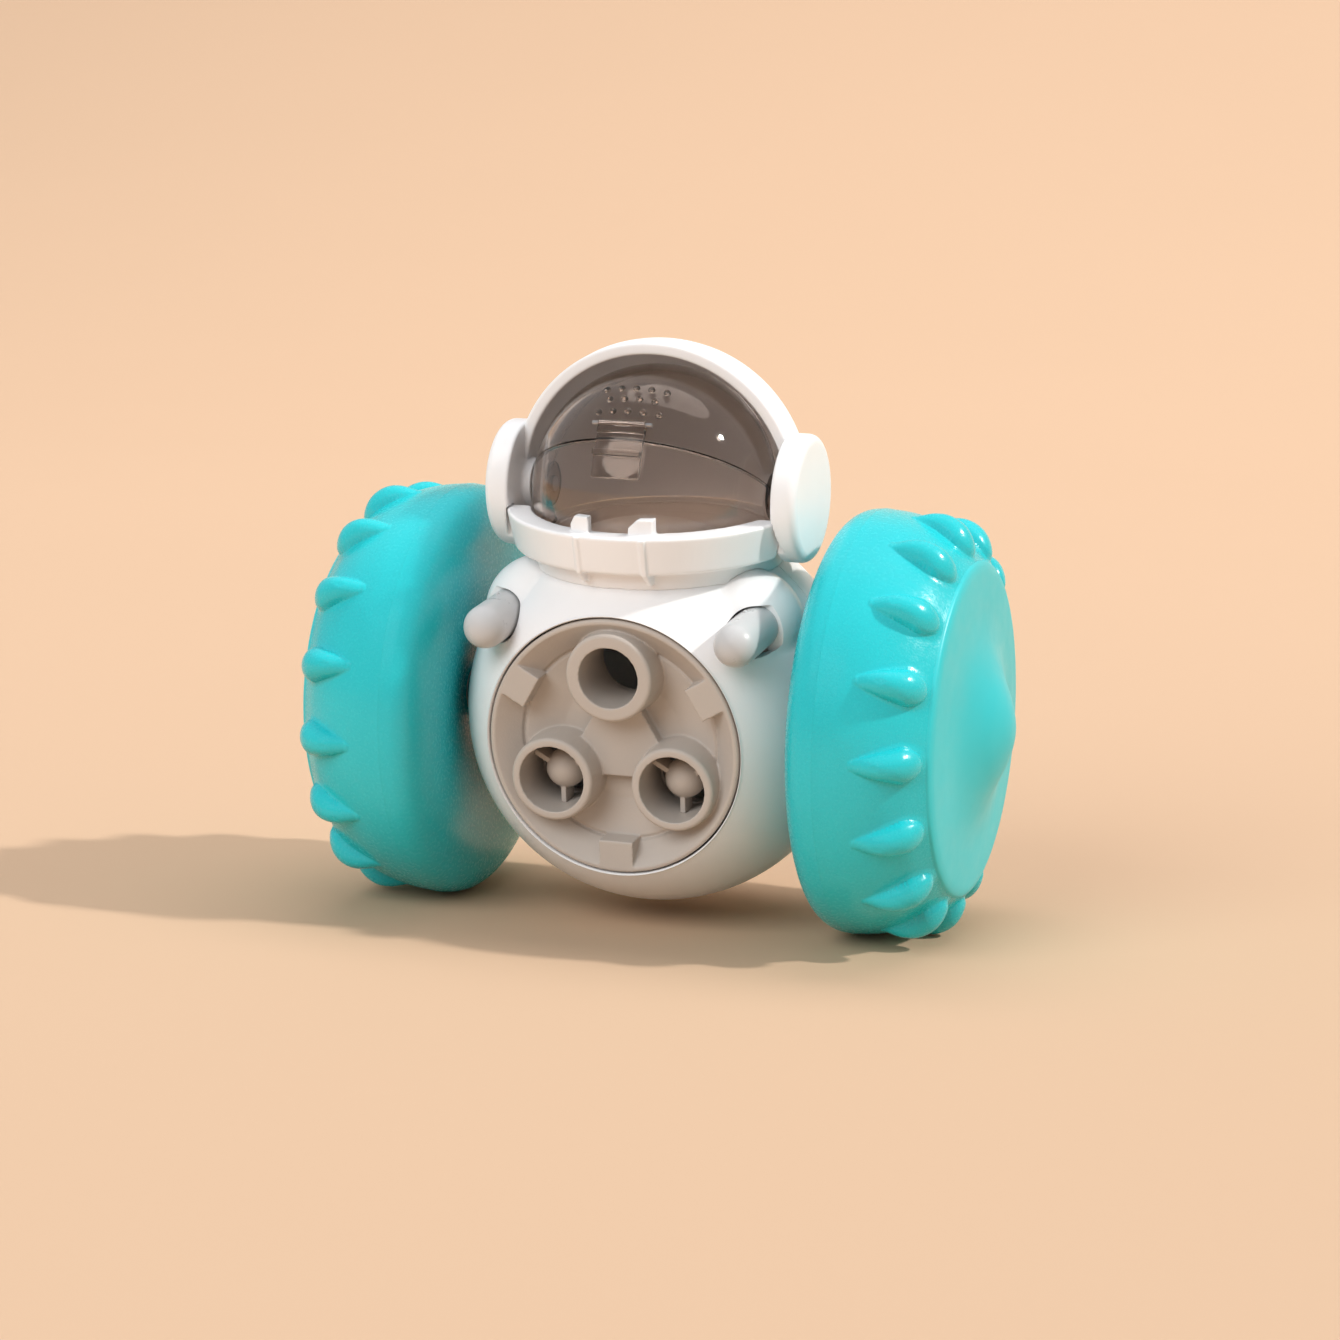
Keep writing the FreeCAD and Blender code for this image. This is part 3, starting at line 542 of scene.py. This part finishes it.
def casing_rows(angles, radius, bump_radius, columns):
    """Rings of the casing at angles from straight ahead, in degrees."""
    a = np.radians(np.array(angles))[:, None]
    turn = np.linspace(0, 2 * math.pi, columns, endpoint=False)[None, :]
    directions = np.stack([np.sin(a) * np.cos(turn), -np.cos(a) * np.ones_like(turn),
                           np.sin(a) * np.sin(turn)], axis=2)
    return directions * casing_radius(directions, radius, bump_radius)[:, :, None]


def mouth_angle(radius, mouth):
    return math.degrees(math.asin(mouth / radius))


def body_front():
    """Front half of the casing, from the round mouth to the seam."""
    columns = 512
    start = mouth_angle(BODY_R, MOUTH_R + 0.45)
    inner_r = BODY_R - WALL
    inner_start = mouth_angle(inner_r, MOUTH_R + 2.0)
    outer = casing_rows(np.linspace(start, 89.55, 96), BODY_R, SHOULDER_R, columns)
    seam = casing_rows([89.85, 90.0], BODY_R - 0.22, SHOULDER_R - 0.2, columns)
    inside = casing_rows(np.linspace(90.0, inner_start, 30), inner_r, SHOULDER_R - WALL, columns)
    turn = np.linspace(0, 2 * math.pi, columns, endpoint=False)
    wall = []
    for radius, forward in ((MOUTH_R + 2.0, 17.7), (MOUTH_R, 17.7), (MOUTH_R, 24.0), (MOUTH_R, 28.2),
                            (MOUTH_R + 0.06, 28.52), (MOUTH_R + 0.24, 28.72)):
        ring = [radius * np.cos(turn), np.full(columns, -forward), radius * np.sin(turn)]
        wall.append(np.stack(ring, axis=1))
    points = np.concatenate([outer, seam, inside, np.array(wall)])
    shell = grid_object("body_front", points, LEANED)
    for side in (1, -1):
        start_point = (ARM_X * side, -16.0, ARM_Z)
        end_point = (ARM_X * side, -40.0, ARM_Z)
        cut(shell, rod_object(ARM_R + ARM_SOCKET_GAP, start_point, end_point, LEANED, 1.5 * side))
    return shell


def arm(side):
    """Peg with a round end and a small moulding pip near its root."""
    outline = [(ARM_ROOT, 0.0), (ARM_ROOT, ARM_R), (ARM_TIP, ARM_R)]
    outline += arc_points((ARM_TIP, 0), ARM_R, 86, 0, 24)
    peg = lathe("peg", outline, LEANED @ Matrix.Translation((ARM_X * side, 0, ARM_Z)), "front", 96)
    pip = lathe("pip", [(0.0, 0.0), (0.0, PIP_R)] + arc_points((0.0, 0.0), PIP_R, 80, 0, 6),
                LEANED @ Matrix.Translation((ARM_X * side - 0.8, -20.6, ARM_Z + ARM_R - 0.12)), "up", 24)
    return joined("arm_" + ("right" if side > 0 else "left") + "_peg", [peg, pip])


def make_body():
    settle(body_front(), "body", "white_plastic", WHITE, "body_front_shell")
    settle(arm(-1), "body", "grey_plastic", ARM_GREY, "arm_left")
    settle(arm(1), "body", "grey_plastic", ARM_GREY, "arm_right")
    settle(softened("neck_collar", "collar", 0.22, 4), "body", "white_plastic", WHITE, "neck_collar")


# ---- dispenser ---------------------------------------------------------------
def make_dispenser():
    settle(softened("dispenser_disc", "disc", 0.2, 4), "disc", "grey_plastic", GREY, "dispenser_disc")
    for side in ("left", "right"):
        core = softened("flow_core_" + side, "core_" + side, 0.12, 4)
        settle(core, "disc", "grey_plastic", GREY, "flow_core_" + side)


# ---- head --------------------------------------------------------------------
def helmet():
    """Ball-shaped hood with three shallow bands and a rounded front edge."""
    def shell_point(radius, y):
        return (y, math.sqrt(max(radius ** 2 - y ** 2, 0.0)))

    rim = rounded([(*shell_point(HELMET_R_IN, -HELMET_FRONT), 0.7),
                   (*shell_point(HEAD_R, -HELMET_FRONT), 0.8),
                   shell_point(HEAD_R, 0.6),
                   shell_point(HELMET_R_IN, 0.6)])
    fillet_points = 2 * (FILLET_STEPS + 1)
    outline = [tuple(p) for p in rim[:fillet_points]]
    y = 0.9
    while y < HEAD_R:
        radius = HEAD_R
        for band in HELMET_BANDS:
            offset = abs(y - (band - HELMET_FRONT))
            radius -= BAND_DEPTH * math.exp(-(offset / BAND_REACH) ** 2)
        outline.append(shell_point(radius, y))
        y += 0.14 if y < 10 else 0.6
    outline.append((HEAD_R, 0.0))
    outline.append((HELMET_R_IN, 0.0))
    for i in range(1, 40):
        outline.append(shell_point(HELMET_R_IN, HELMET_R_IN * math.cos(math.radians(i * 2.25))))
    hood = lathe("helmet", outline, HEAD, "back", 320)
    for side in (1, -1):
        low = (EAR_INNER_X, -FAR, -FAR) if side > 0 else (-FAR, -FAR, -FAR)
        high = (FAR, FAR, FAR) if side > 0 else (-EAR_INNER_X, FAR, FAR)
        cut(hood, box_object(low, high, HEAD))
    cut(hood, box_object((-FAR, -FAR, -FAR), (FAR, FAR, HEAD_BOTTOM - HEAD_HEIGHT), HEAD))
    return hood


def visor_rows(radius, low, high, tab):
    """Skin of the visor between two lines of elevation; low may change across the visor."""
    reach = math.asin(tab / radius)
    polar = np.linspace(math.pi - reach, reach, VISOR_COLUMNS)
    points = np.empty((VISOR_ROWS, VISOR_COLUMNS, 3))
    for i in range(VISOR_ROWS):
        t = i / (VISOR_ROWS - 1)
        elevation = np.radians(low(polar, radius) * (1 - t) + high * t)
        points[i, :, 0] = radius * np.cos(polar)
        points[i, :, 1] = -radius * np.sin(polar) * np.cos(elevation)
        points[i, :, 2] = radius * np.sin(polar) * np.sin(elevation)
    return points


def skin_of(name, low, high, tab):
    """Closed thin skin: outer face, then the inner face backwards, then the side walls."""
    outer = visor_rows(VISOR_R, low, high, tab)
    inner = visor_rows(VISOR_R - VISOR_WALL, low, high, tab)
    loop = np.concatenate([outer, inner[::-1]])
    obj = grid_object(name, loop, HEAD, wrap_columns=False)
    bm = bmesh.new()
    bm.from_mesh(obj.data)
    edges = [e for e in bm.edges if e.is_boundary]
    left = [e for e in edges if e.verts[0].co.x < 0]
    right = [e for e in edges if e.verts[0].co.x > 0]
    for group in (left, right):
        bmesh.ops.contextual_create(bm, geom=group)
    bmesh.ops.recalc_face_normals(bm, faces=bm.faces)
    bm.to_mesh(obj.data)
    bm.free()
    bevel = obj.modifiers.new("ease", "BEVEL")
    bevel.width = 0.25 * MM
    bevel.segments = 3
    bevel.limit_method = "ANGLE"
    bevel.angle_limit = math.radians(50)
    apply_modifiers(obj)
    tidy_mesh(obj.data, sharp=60.0)
    return obj


def visor_window():
    drop = HEAD_BOTTOM - HEAD_HEIGHT

    def low(polar, radius):
        side = radius * np.sin(polar)
        elevation = np.degrees(np.arcsin(np.clip(drop / side, -1, 1)))
        return np.maximum(elevation, -88.0)

    return skin_of("window", low, VISOR_SEAM - VISOR_GAP, TAB_R + VISOR_GAP)


def visor_flap():
    def low(polar, radius):
        return np.full(polar.shape, VISOR_SEAM + VISOR_GAP)

    parts = [skin_of("flap_skin", low, VISOR_TOP, FLAP_END_R)]
    for angle, count in GRIP_ROWS:
        for i in range(count):
            x = (i - (count - 1) / 2) * GRIP_PITCH
            parts.append(grip_bump(x, angle))
    for side in (1, -1):
        parts.append(pivot_tab(side))
    return joined("visor", parts)


def grip_bump(x, angle):
    reach = math.sqrt(VISOR_R ** 2 - x ** 2)
    elevation = math.radians(angle)
    centre = Vector((x, -reach * math.cos(elevation), reach * math.sin(elevation)))
    turn = centre.to_track_quat("X", "Z").to_matrix().to_4x4()
    outline = [(-0.3, 0.0), (-0.3, GRIP_R + 0.04)] + arc_points((0.0, 0.0), GRIP_R, 88, 0, 8)
    return lathe("bump", outline, HEAD @ Matrix.Translation(centre) @ turn, "x", 24)


def pivot_tab(side):
    """Round tab at the end of the flap, with the hole for its pivot pin."""
    edge = math.sqrt(VISOR_R ** 2 - TAB_R ** 2)
    outline = rounded([(edge - VISOR_WALL, PIVOT_R + 0.1, 0.1), (edge - VISOR_WALL, TAB_R, 0.3),
                       (edge, TAB_R, 0.3), (VISOR_R - 0.05, PIVOT_R + 0.1, 0.1)], 4)
    return lathe("tab", outline, HEAD, "x" if side > 0 else "-x", 64)


def make_head():
    settle(helmet(), "body", "white_plastic", WHITE, "helmet_shell")
    for side in ("left", "right"):
        ear = softened("ear_cap_" + side, "ear_" + side, 0.25, 5)
        settle(ear, "body", "white_plastic", WHITE, "ear_cap_" + side)
    settle(visor_window(), "body", "smoked_plastic", SMOKE_WINDOW, "visor_window")
    settle(visor_flap(), "visor", "smoked_plastic", SHADED_SMOKE, "visor_flap")
    settle(softened("visor_latch", "latch", 0.12, 3), "latch", "smoked_plastic", SHADED_SMOKE, "visor_latch")


# ---- carried-over CAD pieces -------------------------------------------------
def dress_cad():
    """Inner CAD pieces keep their shape and take a finished material."""
    by_slot = {"white_plastic": WHITE, "teal_plastic": TEAL_TREAD, "grey_plastic": GREY,
               "smoked_plastic": SHADED_SMOKE, "nylon": NYLON, "steel": STEEL}
    slots = {part["node"]: part["material_slot"] for part in frame["record"]["subparts"]}
    for name, obj in frame["nodes"].items():
        material = by_slot[slots[name]]
        if name == "treat_funnel":
            material = INNER_WHITE
        obj.data.materials.clear()
        obj.data.materials.append(material)


# ---- stage -------------------------------------------------------------------
def make_stage():
    """Seamless paper: a flat floor that sweeps up far behind."""
    sweep_start = 1.0
    sweep_radius = 2.6
    profile = [(-3.0, 0.0), (sweep_start, 0.0)]
    for angle in range(3, 91, 3):
        turn = math.radians(angle)
        profile.append((sweep_start + sweep_radius * math.sin(turn), sweep_radius * (1 - math.cos(turn))))
    verts = [(x, y, z - 0.0002) for x in (-4.0, 4.0) for y, z in profile]
    count = len(profile)
    mesh = bpy.data.meshes.new("floor")
    mesh.from_pydata(verts, [], [(i, i + 1, count + i + 1, count + i) for i in range(count - 1)])
    mesh.polygons.foreach_set("use_smooth", [True] * len(mesh.polygons))
    floor = new_object("floor", mesh)
    n = Nodes("floor_paper")
    n.link(n.mixed(n.noise(3.0), (0.55, 0.385, 0.262), (0.565, 0.395, 0.27)), n.shader.inputs["Base Color"])
    n.set(Roughness=0.9, Specular_IOR_Level=0.1)
    floor.data.materials.append(n.material)


def aim(obj, direction):
    obj.rotation_euler = Vector(direction).to_track_quat("Z", "Y").to_euler()


def area_light(name, place, target, size, power, colour):
    light = bpy.data.lights.new(name, "AREA")
    light.shape = "DISK"
    light.size = size
    light.energy = power
    light.color = colour
    obj = bpy.data.objects.new(name, light)
    bpy.context.scene.collection.objects.link(obj)
    obj.location = place
    obj.visible_glossy = False
    aim(obj, Vector(place) - Vector(target))


def make_lights():
    """One crisp light from the right, soft light from the front and a wash on the backdrop."""
    sun = bpy.data.lights.new("key", "SUN")
    sun.energy = SUN_STRENGTH
    sun.angle = math.radians(SUN_WIDTH)
    sun.color = (1.0, 0.965, 0.92)
    key = bpy.data.objects.new("key", sun)
    bpy.context.scene.collection.objects.link(key)
    aim(key, SUN_FROM)
    area_light("front", (-0.7, -2.2, 1.5), (0, 0, 0.05), 1.8, 42.0, (0.97, 0.99, 1.0))
    area_light("backdrop", (0.0, 0.9, 2.4), (0.0, 3.0, 0.2), 2.5, 50.0, (1.0, 0.97, 0.97))
    world = bpy.data.worlds.new("room")
    bpy.context.scene.world = world
    world.use_nodes = True
    background = world.node_tree.nodes["Background"]
    background.inputs["Color"].default_value = (0.97, 0.98, 1.0, 1)
    background.inputs["Strength"].default_value = ROOM_LIGHT


def make_camera():
    """Seen from the front, a little to the right and above, through a long lens."""
    turn = (Matrix.Rotation(math.radians(CAMERA_TURN), 4, "Z")
            @ Matrix.Rotation(math.radians(90 - CAMERA_RISE), 4, "X")
            @ Matrix.Rotation(math.radians(CAMERA_ROLL), 4, "Z"))
    back = turn.to_3x3() @ Vector((0, 0, CAMERA_DISTANCE))
    data = bpy.data.cameras.new("camera")
    data.lens = CAMERA_LENS
    data.sensor_width = CAMERA_SENSOR
    camera = bpy.data.objects.new("camera", data)
    bpy.context.scene.collection.objects.link(camera)
    camera.matrix_world = Matrix.Translation(CAMERA_TARGET + back) @ turn
    bpy.context.scene.camera = camera


bpy.context.scene.view_settings.view_transform = "Standard"
make_camera()
make_lights()
make_stage()
dress_cad()
make_wheels()
make_body()
make_dispenser()
make_head()
